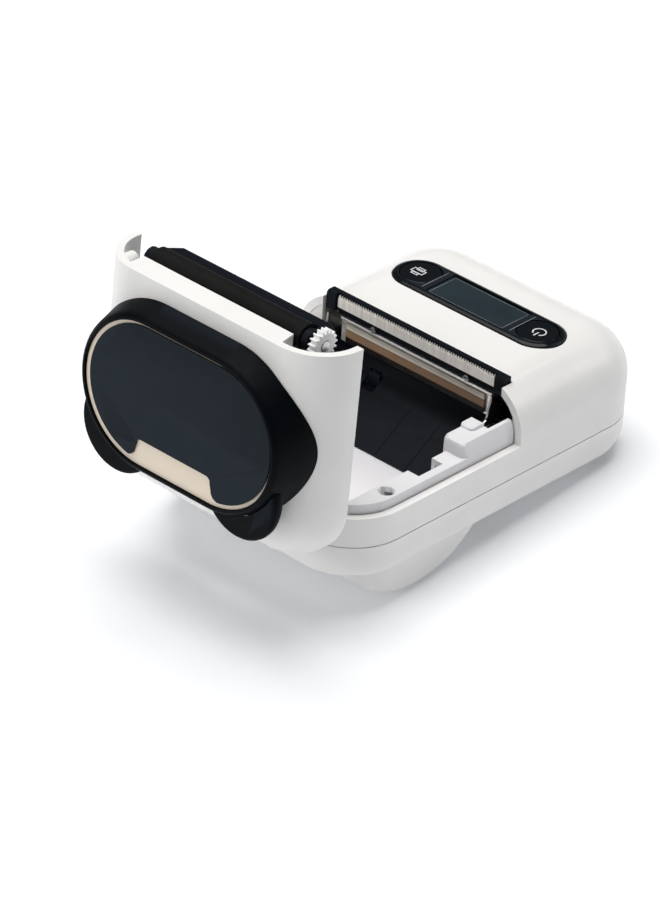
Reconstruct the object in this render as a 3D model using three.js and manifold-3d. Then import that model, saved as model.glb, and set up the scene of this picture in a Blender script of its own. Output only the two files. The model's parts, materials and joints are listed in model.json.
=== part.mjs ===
import * as THREE from 'three';
import { mergeVertices } from 'three/addons/utils/BufferGeometryUtils.js';
import Module from 'manifold-3d';

const wasm = await Module();
wasm.setup();

// Driving dimensions, millimetres. Body frame: +X right, +Y to the display end, Z 0 = lower shell floor.
const HALF_W = 40;
const FRONT_Y = -59;
const REAR_Y = 59;
const PLAN_R = 17;
const SHOULDER_R = 14;
const TOP_Z = 34.2;
const RIM_Z = 18.35;
const SEAM_Z = 9.7;
const SPLIT_Y = 5.3;
const WALL = 2.2;
const TUCK = { z: 6, side: 2.2, rear: 5.5 };
const GAP = 0.3;
const BELLY = { y: -30.5, z: 21.5, r: 31.5, halfX: 38.2, wall: 2 };
const BAY = { halfX: 31.2, front: -52, rear: 4.9, r: 28.2, rearDeg: -39.5, wall: 1.1 };
const SHELF_Z = 21.2;
const HINGE = { y: -56.1, z: 12.05 };
const OPEN_DEG = 87.74;
const TILT_DEG = 5.8;
const PLATEN = { y: 3.1, z: 22.55, r: 3.75, shaft: 1.5 };
const MODULE = 0.45;
const TEETH = { platen: 18, idler: 30, pinion: 12 };
const IDLER = { y: 11.4, z: 15.45 };
const PINION = { y: 20.45, z: 12.3 };
const GEAR_X = [28.6, 30.8];
const PANEL = { y: 31.85, half: 28.7, r: 7.75, top: 34.95 };
const DOME = { y: -23.5, half: 34.3, r: 21.75, baseR: 24, top: 41.85 };
const TEAR = { half: 28.1, y: 6.9, teeth: 66, low: 30.6, root: 33.1, tip: 34.3 };
const rad = THREE.MathUtils.degToRad;

const MAT = {
  white: { color: 0xf1efec, roughness: 0.45 },
  tray: { color: 0xf6f5f3, roughness: 0.55 },
  black: { color: 0x0b0d10, roughness: 0.5 },
  slate: { color: 0x22292e, roughness: 0.6 },
  beige: { color: 0xe6d8c4, roughness: 0.5 },
  rubber: { color: 0x1a1a1b, roughness: 0.9 },
  steel: { color: 0xb9bbbd, roughness: 0.35, metalness: 1 },
  alu: { color: 0xc9c6c0, roughness: 0.4, metalness: 1 },
  copper: { color: 0x8a5f45, roughness: 0.45, metalness: 0.3 },
  glass: { color: 0x2c373c, roughness: 0.12 },
  pcb: { color: 0x1d5a38, roughness: 0.5 },
  cell: { color: 0x5d7fa6, roughness: 0.6 },
  nylon: { color: 0xf7f7f7, roughness: 0.4 },
};

// ---- solid helpers -------------------------------------------------------
function solid(geometry) {
  const g = geometry.index ? geometry.toNonIndexed() : geometry.clone();
  g.deleteAttribute('normal');
  g.deleteAttribute('uv');
  const m = mergeVertices(g, 1e-5);
  return new wasm.Manifold(new wasm.Mesh({
    numProp: 3,
    vertProperties: new Float32Array(m.attributes.position.array),
    triVerts: new Uint32Array(m.index.array),
  }));
}

function toGeometry(body) {
  const m = body.getMesh();
  const g = new THREE.BufferGeometry();
  const xyz = new Float32Array(m.numVert * 3);
  for (let i = 0; i < m.numVert; i++) {
    for (let k = 0; k < 3; k++) xyz[3 * i + k] = m.vertProperties[m.numProp * i + k];
  }
  g.setAttribute('position', new THREE.BufferAttribute(xyz, 3));
  g.setIndex(new THREE.BufferAttribute(new Uint32Array(m.triVerts), 1));
  return g;
}

const add = (...s) => s.reduce((a, b) => a.add(b));
const cut = (a, ...s) => s.reduce((x, y) => x.subtract(y), a);

function loft(rings) {
  const n = rings[0].pts.length;
  const v = [];
  const idx = [];
  rings.forEach(({ z, pts }) => pts.forEach(([x, y]) => v.push(x, y, z)));
  for (let k = 0; k < rings.length - 1; k++) {
    for (let i = 0; i < n; i++) {
      const a = k * n + i;
      const b = k * n + (i + 1) % n;
      idx.push(a, b, b + n, a, b + n, a + n);
    }
  }
  const top = (rings.length - 1) * n;
  for (let i = 1; i < n - 1; i++) idx.push(0, i + 1, i, top, top + i, top + i + 1);
  const g = new THREE.BufferGeometry();
  g.setAttribute('position', new THREE.Float32BufferAttribute(v, 3));
  g.setIndex(idx);
  return solid(g);
}

function roundRect(halfX, y0, y1, r, seg = 8) {
  const cs = [[halfX - r, y1 - r, 0], [-halfX + r, y1 - r, 90], [-halfX + r, y0 + r, 180], [halfX - r, y0 + r, 270]];
  const pts = [];
  for (const [cx, cy, a0] of cs) {
    for (let i = 0; i <= seg; i++) {
      const a = rad(a0 + (90 * i) / seg);
      pts.push([cx + r * Math.cos(a), cy + r * Math.sin(a)]);
    }
  }
  return pts;
}

function stadium(cx, cy, half, r, seg = 16) {
  const pts = [];
  for (const [side, a0] of [[1, -90], [-1, 90]]) {
    for (let i = 0; i <= seg; i++) {
      const a = rad(a0 + (180 * i) / seg);
      pts.push([cx + side * (half - r) + r * Math.cos(a), cy + r * Math.sin(a)]);
    }
  }
  return pts;
}

const circle = (cx, cy, r, seg = 32) => Array.from({ length: seg }, (_, i) => {
  const a = (2 * Math.PI * i) / seg;
  return [cx + r * Math.cos(a), cy + r * Math.sin(a)];
});

function box(x0, x1, y0, y1, z0, z1) {
  const g = new THREE.BoxGeometry(x1 - x0, y1 - y0, z1 - z0);
  return solid(g.translate((x0 + x1) / 2, (y0 + y1) / 2, (z0 + z1) / 2));
}

// Extrude a closed outline of [a, b] points; axis X reads them as [y, z], axis Z as [x, y].
function extrude(pts, from, to, axis, holes = []) {
  const shape = new THREE.Shape(pts.map(([a, b]) => new THREE.Vector2(a, b)));
  const g = new THREE.ExtrudeGeometry(shape, { depth: to - from, bevelEnabled: false });
  g.translate(0, 0, from);
  if (axis === 'X') g.applyMatrix4(new THREE.Matrix4().set(0, 0, 1, 0, 1, 0, 0, 0, 0, 1, 0, 0, 0, 0, 0, 1));
  if (axis === 'Y') g.applyMatrix4(new THREE.Matrix4().set(1, 0, 0, 0, 0, 0, -1, 0, 0, 1, 0, 0, 0, 0, 0, 1));
  return cut(solid(g), ...holes.map((h) => extrude(h, from - 1, to + 1, axis)));
}

const rodX = (y, z, r, x0, x1, seg = 24) => extrude(circle(y, z, r, seg), x0, x1, 'X');
const rodZ = (x, y, r, z0, z1, seg = 24) => extrude(circle(x, y, r, seg), z0, z1, 'Z');

// ---- the outer envelope both shells and the lid are cut from ---------------
// How far the side and rear walls stand in from the widest outline at a height, for a skin offset inwards.
function insetAt(z, off) {
  const shoulder = TOP_Z - SHOULDER_R;
  if (z < TUCK.z) {
    const t = 1 - Math.sqrt(Math.max(0, 1 - ((TUCK.z - z) / TUCK.z) ** 2));
    return { side: TUCK.side * t + off, rear: TUCK.rear * t + off };
  }
  if (z + off <= shoulder) return { side: off, rear: off };
  const r = SHOULDER_R - off;
  const k = Math.min(1, Math.max(0, z - shoulder) / r);
  const t = off + r * (1 - Math.sqrt(1 - k * k));
  return { side: t, rear: t };
}

const ENVELOPE_Z = [0, 1, 2.4, 4.2, 6, 20.2, 21.6, 23.6, 25.9, 28.4, 30.4, 32.1, 33.3, 34, TOP_Z];

function envelope(off, zLow, zHigh) {
  const zs = [zLow, ...ENVELOPE_Z.filter((z) => z > zLow + 0.01 && z < zHigh - 0.01), zHigh];
  return loft(zs.map((z) => {
    const { side, rear } = insetAt(z, off);
    const r = Math.max(PLAN_R - Math.max(side, 0), WALL);
    return { z, pts: roundRect(HALF_W - side, FRONT_Y + side, REAR_Y - rear, r) };
  }));
}

function bellySolid(off) {
  const r = BELLY.r - off;
  const pts = [];
  const half = Math.acos((BELLY.z - 4) / r);
  for (let i = 0; i <= 18; i++) {
    const a = -Math.PI / 2 - half + (2 * half * i) / 18;
    pts.push([BELLY.y + r * Math.cos(a), BELLY.z + r * Math.sin(a)]);
  }
  const hx = BELLY.halfX - off;
  const middle = extrude(pts, -hx + 1.6, hx - 1.6, 'X');
  const soft = [[0.7, 0.45], [0, 1.6]].map(([dx, d]) => {
    const q = pts.map(([y, z]) => {
      const k = (r - d) / r;
      return [BELLY.y + (y - BELLY.y) * k, BELLY.z + (z - BELLY.z) * k];
    });
    return extrude(q, -hx + dx, hx - dx, 'X');
  });
  const plan = roundRect(BELLY.halfX - off, FRONT_Y + 1.2 + off, 10, PLAN_R - 2.4 - off);
  return add(middle, ...soft).intersect(extrude(plan, -20, 6, 'Z'));
}

// ---- housing ---------------------------------------------------------------
const SCREW_AT = [[34.9, 1], [-34.9, 1], [35, 44], [-35, 44]];

function lowerShell() {
  const outer = add(envelope(0, 0, SEAM_Z - GAP / 2), bellySolid(0));
  const inner = add(envelope(WALL, WALL, SEAM_Z + 5), bellySolid(BELLY.wall));
  const lip = cut(envelope(WALL - 0.1, 6, 11.2), envelope(3.3, 5, 12), box(-40, 40, -60, -47, 0, 20));
  const lipIn = cut(lip, cut(envelope(-1, SEAM_Z - GAP / 2, 12), envelope(WALL + 0.2, 9, 13)));
  let body = add(cut(outer, inner), lipIn);
  for (const [x, y] of SCREW_AT) {
    body = add(body, rodZ(x, y, 3.4, 1, SEAM_Z - GAP / 2).intersect(envelope(0.5, 0.2, SEAM_Z)));
    body = cut(body, rodZ(x, y, 3.4, SEAM_Z - GAP / 2, 14), rodZ(x, y, 2.7, -1, 4.4), rodZ(x, y, 1.4, 4, 14));
  }
  return cut(body, box(-26.2, 26.2, -60, -54.5, 7.5, 12));
}

// A light wall across the arch behind the roller, beside the mechanism.
const bulkhead = (x0, x1, z0, z1) => box(x0, x1, 5.6, 6.8, z0, z1).intersect(envelope(1, 9, 33));

function upperShell() {
  const outer = cut(envelope(0, SEAM_Z + GAP / 2, TOP_Z), box(-50, 50, -70, SPLIT_Y, RIM_Z, 50));
  const inner = envelope(WALL, SEAM_Z - 1, TOP_Z - WALL);
  let body = cut(outer, inner);
  const wallRing = cut(envelope(0, 7.6, 11), envelope(WALL, 6, 12));
  body = add(body, wallRing.intersect(box(-26, 26, -60, -54, 7, 11)));
  for (const [x, y] of SCREW_AT) {
    const web = box(Math.min(x, x * 1.1), Math.max(x, x * 1.1), y - 1.2, y + 1.2, SEAM_Z + GAP / 2, 15.6);
    body = add(body, add(rodZ(x, y, 2.9, SEAM_Z + GAP / 2, 15.6), web).intersect(envelope(1, 9, 20)));
  }
  for (const s of [-1, 1]) {
    const lugs = [[13.6, 16.6], [22.4, 25.4]].map(([a, b]) => {
      const x0 = s > 0 ? a : -b;
      const web = box(x0, x0 + 3, -57.2, HINGE.y, HINGE.z - 2.2, HINGE.z + 2.2);
      return add(rodX(HINGE.y, HINGE.z, 2.2, x0, x0 + 3), web);
    });
    body = add(body, ...lugs);
    body = cut(body, box(s > 0 ? 16.6 : -22.4, s > 0 ? 22.4 : -16.6, -60, -53, 9.6, 20));
    body = cut(body, rodX(HINGE.y, HINGE.z, 1.08, s > 0 ? 13 : -26, s > 0 ? 26 : -13, 16));
  }
  for (const [x, y] of SCREW_AT) body = cut(body, rodZ(x, y, 1.4, 9, 14.5));
  body = add(body, bulkhead(-39, -32.2, 19.4, 31.4), bulkhead(36.2, 39, 17, 27.5));
  const rimTrim = cut(box(-34, 34, -60, HINGE.y, 14, 19), rodX(HINGE.y, HINGE.z, 6.1, -35, 35, 48));
  body = cut(body, rimTrim, extrude(stadium(0, PANEL.y, PANEL.half + 0.15, PANEL.r + 0.15), 30, 40, 'Z'));
  body = cut(body, box(-32, 32, 5, 9.5, 28, 40));
  return cut(body, extrude(roundRect(4.9, 19.75, 23.45, 1.7, 5), -62, -50, 'Y'));
}

function bayArc(r, front) {
  const start = -Math.PI + Math.acos(Math.min(1, (BELLY.y - front) / r));
  const rear = rad(BAY.rearDeg);
  return Array.from({ length: 17 }, (_, i) => {
    const a = start + ((rear - start) * i) / 16;
    return [BELLY.y + r * Math.cos(a), BELLY.z + r * Math.sin(a)];
  });
}

// The deep tray under the roll, open at the back where the guide wall closes it.
function bayTray() {
  const wallFront = BAY.front - BAY.wall;
  const outline = [[-3, 9], [-3, 16.8], [BAY.rear, 16.8], [BAY.rear, SHELF_Z], [wallFront, SHELF_Z],
    ...bayArc(BAY.r + BAY.wall, wallFront)];
  const room = [[9, 6], [9, 30], [BAY.front, 30], ...bayArc(BAY.r, BAY.front), [14.5, -6]];
  return cut(extrude(outline, -BAY.halfX - 1.2, BAY.halfX + 1.2, 'X'), extrude(room, -BAY.halfX, BAY.halfX, 'X'));
}

// The flat shelf around the bay, one wall inside the shells.
function bayShelf() {
  const plate = envelope(2.5, 16, SHELF_Z).intersect(box(-50, 50, -60, BAY.rear, 10, 30));
  const under = envelope(4, 15, SHELF_Z - 1.7).intersect(box(-50, 50, -60, 8, 10, 30));
  const inner = envelope(2.5, 18, 25.2).intersect(box(-50, 50, BAY.rear - 1, BAY.rear, 18, 25.2));
  const cheeks = cut(inner, box(-35.3, 35.3, 0, 10, 15, 30));
  return add(cut(plate, under, box(-BAY.halfX, BAY.halfX, BAY.front, 10, 10, 30)), cheeks);
}

// A rounded block beside the bay; the right one has a raised pad on its rear inner corner.
function bayBlock(s) {
  const ring = (inset) => roundRect(4.3 - inset, -14.5 + inset, 6, 2.4 - inset, 5).map(([x, y]) => [x + s * 33.2, y]);
  const block = loft([{ z: 18, pts: ring(0) }, { z: 23.9, pts: ring(0.1) }, { z: 24.8, pts: ring(0.5) },
    { z: 25.2, pts: ring(1.2) }]).intersect(envelope(2.5, 17, 26).intersect(box(-50, 50, -20, BAY.rear, 0, 30)));
  const pad = (inset) => roundRect(2.3 - inset, -7.6 + inset, -1, 1.4 - inset, 5).map(([x, y]) => [x + 31.4, y]);
  const stop = loft([{ z: 20, pts: pad(0) }, { z: 25.7, pts: pad(0) }, { z: 26, pts: pad(0.3) }]);
  return s > 0 ? add(block, stop) : block;
}

function bayPockets(s) {
  const span = (a, b) => (s > 0 ? [a, b] : [-b, -a]);
  const shelfX = span(BAY.halfX - 1, 35);
  return [
    box(...span(27, 35.2), s > 0 ? -2.9 : -6.8, 6, 13.5, 30),
    box(...shelfX, -29.2, -20, 15.5, 30),
    rodZ(s * 34.3, -40.8, 2.3, 15, 30, 20),
    box(...span(13.2, 25.8), -60, -53.2, 0, 30),
    rodZ(s * SCREW_AT[0][0], SCREW_AT[0][1], 3.75, -6, 17),
  ];
}

function paperBay() {
  const hx = BAY.halfX;
  let body = add(bayTray(), bayShelf());
  for (const s of [-1, 1]) body = cut(add(body, bayBlock(s)), ...bayPockets(s));
  const corners = extrude(roundRect(HALF_W - 3.7, FRONT_Y + 3.7, 30, PLAN_R - 3.7), -20, 12, 'Z');
  const deepCorners = extrude(roundRect(BELLY.halfX - 2.4, FRONT_Y + 3.6, 30, PLAN_R - 4.9), -20, 12, 'Z');
  body = cut(body, cut(box(-40, 40, -60, 8, -20, 11.9), corners), cut(box(-40, 40, -60, 8, -20, 2.9), deepCorners));
  const behind = cut(box(-hx, hx, -16, -2.9, 14, 30), box(28.9, 40, -20, 6, 18, 30), box(-40, -28.9, -20, 6, 18, 30));
  return cut(body, behind, rodX(IDLER.y, IDLER.z, 7.6, 27, 31.2, 32));
}

// The wall behind the roll: nearly flat, then steeper where it passes behind the closed lid's cradle.
function guideWall() {
  const front = [[9.6, 20.2], [8.9, 17], [7.6, 15], [5.9, 13.6], [-8.8, 3.95]];
  const back = [[-7.5, 3.7], [6.7, 12.7], [8.6, 14.2], [10, 16.7], [10.8, 20.2]];
  const wall = extrude([...front, ...back], -30.9, 30.9, 'X');
  const gearRoom = rodX(IDLER.y, IDLER.z, 7.6, 26.9, 32, 32);
  const jawRoom = [box(26.9, 32, 6, 14, 14, 21), box(-32, -29.9, 7, 14, 18.8, 21)];
  return cut(wall, gearRoom, ...jawRoom, box(-16.1, -11.4, 3, 14, 12.4, 16.4));
}

// ---- lid, modelled closed and then swung open --------------------------------
function lidShell() {
  const end = SPLIT_Y - GAP;
  const keep = box(-50, 50, -70, end, RIM_Z + 0.2, 60);
  let body = cut(envelope(0, RIM_Z, TOP_Z).intersect(keep), envelope(WALL, RIM_Z - 2, TOP_Z - WALL));
  body = cut(body, extrude(stadium(0, DOME.y, 33.2, 20.6, 14), 20, 50, 'Z'));
  const rib = [[-29, 33], [-28.9, 26.7], [23.6, 26.7], [24.7, 31.9], [24.7, 33]];
  body = add(body, extrude(rib, -end, -end + 3.6, 'Y'));
  for (const s of [-1, 1]) {
    const arm = [[-58.3, 12.05], [-58.3, 20.8], [-57.2, 24], [-54.4, 27], [-53.9, 24], [-53.9, 12.05]];
    const x0 = s > 0 ? 17 : -22;
    body = add(body, cut(add(extrude(arm, x0, x0 + 5, 'X'), rodX(HINGE.y, HINGE.z, 2.2, x0, x0 + 5)),
      rodX(HINGE.y, HINGE.z, 1.08, x0 - 1, x0 + 6, 16)));
  }
  const post = rodZ(-33.2, 2.3, 2.2, 26, 32).intersect(envelope(1, 20, TOP_Z - 1));
  return add(body, post);
}

const domeRings = (off) => {
  const base = DOME.half - DOME.r;
  const row = (z, r) => ({ z, pts: stadium(0, DOME.y, base + r + off, r + off) });
  return loft([row(24, DOME.baseR + 1.2), row(33.85, DOME.baseR), row(40.2, 22.15), row(41.2, DOME.r), row(41.68, 21.2),
    row(DOME.top, 20.6)]);
};

function domeCover() {
  const base = DOME.half - DOME.r;
  const row = (z, r) => ({ z, pts: stadium(0, DOME.y, base + r, r, 14) });
  const inside = loft([row(20, 21.2), row(36, 20.6), row(38.6, 19.2)]);
  const pocket = extrude(stadium(0, DOME.y, base + 20.35, 20.35), 40.4, 50, 'Z');
  return cut(domeRings(0), envelope(-0.15, 10, TOP_Z + 0.15), inside, pocket);
}

// A low half-round foot beside the dome, undercut towards the lid.
function footLobe(s) {
  const row = (z, y, r) => ({ z, pts: circle(s * 21.7, y, r, 40) });
  const lobe = loft([row(34.3, -32.6, 8.4), row(36.2, -36, 11.6), row(37.6, -37.3, 12.6), row(38.9, -37.5, 12.7),
    row(39.6, -37.5, 12.3), row(39.85, -37.5, 11.7)]);
  const body = cut(lobe, domeRings(0.25), envelope(-0.15, 10, TOP_Z + 0.15));
  return body.intersect(s > 0 ? box(6, 50, -60, 0, 20, 50) : box(-50, -6, -60, 0, 20, 50));
}

function inlayBase() {
  const base = DOME.half - DOME.r;
  return extrude(stadium(0, DOME.y, base + 20.2, 20.2), 40.55, 41.05, 'Z');
}

function tabOutline() {
  const y0 = DOME.y - 20.3;
  const y1 = DOME.y - 12.5;
  const side = [[16.2, y0], [15.6, y0 + 2.1], [14.4, y0 + 2.9], [13.5, y0 + 4], [13, y1 - 1.6], [12.6, y1 - 0.6],
    [11.5, y1]];
  return [...side, ...side.slice().reverse().map(([x, y]) => [-x, y])];
}

function inlayPlate() {
  const base = DOME.half - DOME.r;
  const body = extrude(stadium(0.75, DOME.y + 0.55, base + 19.15, 19.15), 41.15, 41.65, 'Z');
  return cut(body, extrude(tabOutline(), 40, 43, 'Z'));
}

// The bar behind the roller, its two bearing cheeks and the wings that fix it to the lid.
function platenCradle() {
  const bar = cut(box(-30.1, 27.4, -4, 5.2, 15.75, 19.9), rodX(PLATEN.y, PLATEN.z, PLATEN.r + 0.35, -27.7, 25.1, 32));
  const slant = extrude([[-31, 15], [-25.5, 15], [-25.5, 15.75], [-29.4, 20.4], [-31, 20.4]], -6, 6, 'Y');
  const bearing = (y) => [[y, 19], [y, 20.6], [5.6, 21.4], [6.1, 22.6], [5.8, 24.2], [4.9, 25.3], [3.4, 25.9],
    [1.4, 25.6], [-0.6, 23], [-4, 21.5], [-4, 19]];
  const bore = rodX(PLATEN.y, PLATEN.z, PLATEN.shaft + 0.1, -32, 32, 20);
  const left = extrude(bearing(4.4), -30.1, -27.8, 'X');
  const right = extrude([[-4, 15.75], [4.9, 15.75], ...bearing(5.2).slice(1, -1)], 25.2, 27.1, 'X');
  const wing = (x0, x1) => box(x0, x1, -0.9, 0.1, 18.6, 29).intersect(envelope(2.8, 10, 31));
  const wings = cut(add(wing(27, 34.8), wing(-34.8, -29.9)), rodX(PLATEN.y, PLATEN.z, 4.9, 28.2, 31.2, 32));
  return add(cut(add(cut(bar, slant), left, right), bore), wings);
}

function gear(y, z, teeth, x0, x1, bore, phase = 0) {
  const pr = (MODULE * teeth) / 2;
  const ro = pr + MODULE * 0.95;
  const rr = pr - MODULE * 1.2;
  const pts = [];
  const step = (2 * Math.PI) / teeth;
  for (let i = 0; i < teeth; i++) {
    for (const [k, r] of [[-0.31, rr], [-0.12, ro], [0.12, ro], [0.31, rr]]) {
      const a = phase + (i + k) * step;
      pts.push([y + r * Math.cos(a), z + r * Math.sin(a)]);
    }
  }
  const holes = bore > 0 ? [circle(y, z, bore, 16)] : [];
  return extrude(pts, x0, x1, 'X', holes);
}

// Phases that put a tooth of the idler into a gap of each gear that it drives.
const toPinion = Math.atan2(PINION.z - IDLER.z, PINION.y - IDLER.y);
const toPlaten = Math.atan2(PLATEN.z - IDLER.z, PLATEN.y - IDLER.y);
const toothStep = (teeth) => (2 * Math.PI) / teeth;
const idlerLag = (toPlaten - toPinion) % toothStep(TEETH.idler);
const PHASE = {
  idler: toPinion,
  pinion: toPinion + Math.PI + toothStep(TEETH.pinion) / 2,
  platen: toPlaten + Math.PI + (idlerLag * TEETH.idler) / TEETH.platen + toothStep(TEETH.platen) / 2,
};

const ringX = (y, z, ro, ri, x0, x1, seg = 28) => extrude(circle(y, z, ro, seg), x0, x1, 'X',
  [circle(y, z, ri, seg)]);

// ---- print mechanism ---------------------------------------------------------
function tearBlade() {
  const pts = [[-TEAR.half, TEAR.low], [TEAR.half, TEAR.low]];
  const step = (2 * TEAR.half) / TEAR.teeth;
  for (let i = 0; i < TEAR.teeth; i++) {
    pts.push([TEAR.half - i * step, TEAR.root], [TEAR.half - (i + 0.5) * step, TEAR.tip]);
  }
  pts.push([-TEAR.half, TEAR.root]);
  return extrude(pts, -TEAR.y - 0.5, -TEAR.y, 'Y');
}

function bladeHolder() {
  const back = box(-31.7, 31.7, 7.6, 9.2, 29.5, 34.65);
  const low = box(-28.2, 28.2, 7.6, 8.6, 28.35, 29.6);
  const cap = (x0, x1) => extrude([[6.2, 29.5], [9.2, 29.5], [9.2, 34.65], [6.9, 34.65], [6.2, 34]], x0, x1, 'X');
  return add(back, low, cap(-31.7, -28.4), cap(28.4, 31.7));
}

function heatSink() {
  const pts = [[7.9, 20.6], [9.6, 20.6], [9.9, 21], [9.9, 28], [7.3, 28], [7.3, 27.2], [7.9, 27.2]];
  return extrude(pts, -27, 27, 'X');
}

function headBracket() {
  const plate = box(-28.3, 28.3, 12.4, 13.2, 19.6, 28.4);
  const jaw = (x0, x1) => extrude([[12.9, 19.6], [12.9, 28.2], [6, 28.2], [5.9, 26.4], [5.1, 24.4], [4.95, 22.6],
    [4.5, 21.5], [3.2, 20.85], [1.6, 20.7], [1.9, 19.6]], x0, x1, 'X');
  const left = add(jaw(-30.9, -30.3), box(-30.9, -28, 12.4, 13.2, 19.6, 28.2));
  return add(plate, left, jaw(27.7, 28.3));
}

function springAt(x) {
  const pts = [];
  for (let i = 0; i <= 36; i++) {
    const a = (i / 12) * 2 * Math.PI;
    pts.push(new THREE.Vector3(x + 1.5 * Math.cos(a), 10.45 + (1.45 * i) / 36, 25.6 + 1.5 * Math.sin(a)));
  }
  const path = new THREE.CatmullRomCurve3(pts);
  const shape = new THREE.Shape();
  shape.absarc(0, 0, 0.2, 0, 2 * Math.PI);
  const g = new THREE.ExtrudeGeometry(shape, { steps: 40, extrudePath: path, curveSegments: 3, bevelEnabled: false });
  return solid(g);
}

function motorPlate() {
  const pts = [[5.2, 12.2], [5.2, 19.1], [24, 19.1], [29.6, 14], [29.6, 8], [25, 3.6], [14, 3.6], [9.4, 8.2]];
  const plate = extrude(pts, 27.35, 28.05, 'X', [circle(PINION.y, PINION.z, 1.5, 20)]);
  return add(plate, rodX(IDLER.y, IDLER.z, 1, 28, 31, 20));
}

function motorBody() {
  const can = extrude(circle(PINION.y, PINION.z, 8.8, 40), 6.5, 27.2, 'X');
  return add(can, box(9, 25, PINION.y + 7, PINION.y + 10.5, PINION.z - 3.5, PINION.z + 3.5));
}

function driveCover() {
  const shell = box(31.5, 35.9, 5.6, 14.2, 15.8, 30).intersect(envelope(2.6, 10, 32));
  return cut(shell, box(30, 35, 4, 13.2, 17, 31));
}

function panelBezel() {
  const row = (z, d) => ({ z, pts: stadium(0, PANEL.y, PANEL.half - d, PANEL.r - d, 14) });
  const body = loft([row(31.4, 0.1), row(34.25, 0.1), row(34.6, 0.35), row(PANEL.top, 1.15)]);
  const lens = extrude(roundRect(14, PANEL.y - 6.1, PANEL.y + 6.1, 0.6, 3), 30, 40, 'Z');
  return cut(body, lens, extrude(buttonOutline(1, 0.25), 30, 40, 'Z'), extrude(buttonOutline(-1, 0.25), 30, 40, 'Z'));
}

function buttonOutline(s, off) {
  const c = PANEL.half - PANEL.r;
  const r = 5.75 + off;
  const flat = 16.1 - off;
  const lim = Math.acos(Math.max(-1, (flat - c) / r));
  const pts = [];
  for (let i = 0; i <= 20; i++) {
    const a = -lim + (2 * lim * i) / 20;
    pts.push([s * (c + r * Math.cos(a)), PANEL.y + r * Math.sin(a)]);
  }
  return s > 0 ? pts : pts.reverse();
}

function buttonCap(s) {
  const outline = buttonOutline(s, 0);
  const shrink = (k) => outline.map(([x, y]) => [s * 21.4 + (x - s * 21.4) * k, PANEL.y + (y - PANEL.y) * k]);
  const cap = loft([{ z: 32.6, pts: outline }, { z: 34.7, pts: outline }, { z: 34.95, pts: shrink(0.93) }]);
  return add(cap, rodZ(s * 21, PANEL.y, 1.8, 27.3, 33, 20));
}

function screw(x, y) {
  const head = loft([{ z: 2.6, pts: circle(x, y, 2.1, 20) }, { z: 3, pts: circle(x, y, 2.4, 20) },
    { z: 4.1, pts: circle(x, y, 2.4, 20) }]);
  const bar = (hx, hy) => box(x - hx, x + hx, y - hy, y + hy, 2, 3.4);
  const slot = add(bar(1.3, 0.25), bar(0.25, 1.3));
  return cut(add(head, rodZ(x, y, 1.15, 4, 13.5, 14)), slot);
}

function smallScrew(x) {
  const g = new THREE.CylinderGeometry(0.95, 0.95, 0.7, 18).translate(x, 7.15, 28.98);
  return cut(solid(g), box(x - 0.7, x + 0.7, 6.6, 7.05, 28.85, 29.1));
}

// ---- resting pads, shaped flat to the ground plane ------------------------------
const groundZ = (y) => BELLY.z - (BELLY.r + 0.7) / Math.cos(rad(TILT_DEG)) + Math.tan(rad(TILT_DEG)) * (y - BELLY.y);

function pad(x, y, hx, hy, r, clip) {
  const t = rad(TILT_DEG);
  const prism = extrude(roundRect(hx, -hy, hy, r, 5), 0, 9, 'Z');
  return cut(prism.rotate([TILT_DEG, 0, 0]).translate([x, y, groundZ(y)]), ...clip).intersect(
    box(x - hx - 2, x + hx + 2, y - 30, y + 30, -20, clip.length ? 1.5 + Math.cos(t) : 5));
}

function bellyPad(s) {
  return pad(s * 22, BELLY.y + 3, 7, 4.2, 2.2, [bellySolid(-0.12)]).intersect(box(-50, 50, -60, 0, -20, -8));
}

function rearPad(s) {
  return pad(s * 24, 42, 5.5, 5.5, 5.4, [box(-50, 50, 0, 80, -0.12, 20)]);
}

// ---- assembly --------------------------------------------------------------------
const group = new THREE.Group();
group.name = 'receipt_printer';
const tilt = new THREE.Group();
tilt.name = 'tilt';
tilt.rotation.x = -rad(TILT_DEG);
group.add(tilt);
const lid = new THREE.Group();
lid.name = 'lid_open';
tilt.add(lid);

function put(parent, name, body, look) {
  const mesh = new THREE.Mesh(toGeometry(body), new THREE.MeshStandardMaterial(MAT[look]));
  mesh.name = name;
  parent.add(mesh);
}

const ofLid = (name, body, look) => put(lid, name, body, look);
const ofBase = (name, body, look) => put(tilt, name, body, look);
const swing = new THREE.Matrix4().makeTranslation(0, HINGE.y, HINGE.z)
  .multiply(new THREE.Matrix4().makeRotationX(rad(OPEN_DEG)))
  .multiply(new THREE.Matrix4().makeTranslation(0, -HINGE.y, -HINGE.z));
lid.applyMatrix4(swing);

ofBase('lower_shell', lowerShell(), 'white');
ofBase('upper_shell', upperShell(), 'white');
ofBase('paper_bay', paperBay(), 'tray');
ofBase('guide_wall', guideWall(), 'black');
ofBase('paper_sensor', box(-15.8, -11.7, 6.9, 8.2, 12.7, 16.1), 'rubber');
ofBase('blade_holder', bladeHolder(), 'black');
ofBase('tear_blade', tearBlade(), 'steel');
ofBase('holder_screw_L', smallScrew(-15.1), 'steel');
ofBase('holder_screw_R', smallScrew(18.2), 'steel');
ofBase('head_bracket', headBracket(), 'steel');
ofBase('head_spring_L', springAt(-14), 'steel');
ofBase('head_spring_R', springAt(14), 'steel');
ofBase('head_heatsink', heatSink(), 'alu');
ofBase('head_ceramic', box(-24.8, 24.8, 7.2, 7.75, 21.2, 26.6), 'copper');
ofBase('motor_plate', motorPlate(), 'steel');
ofBase('stepper_motor', motorBody(), 'steel');
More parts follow.
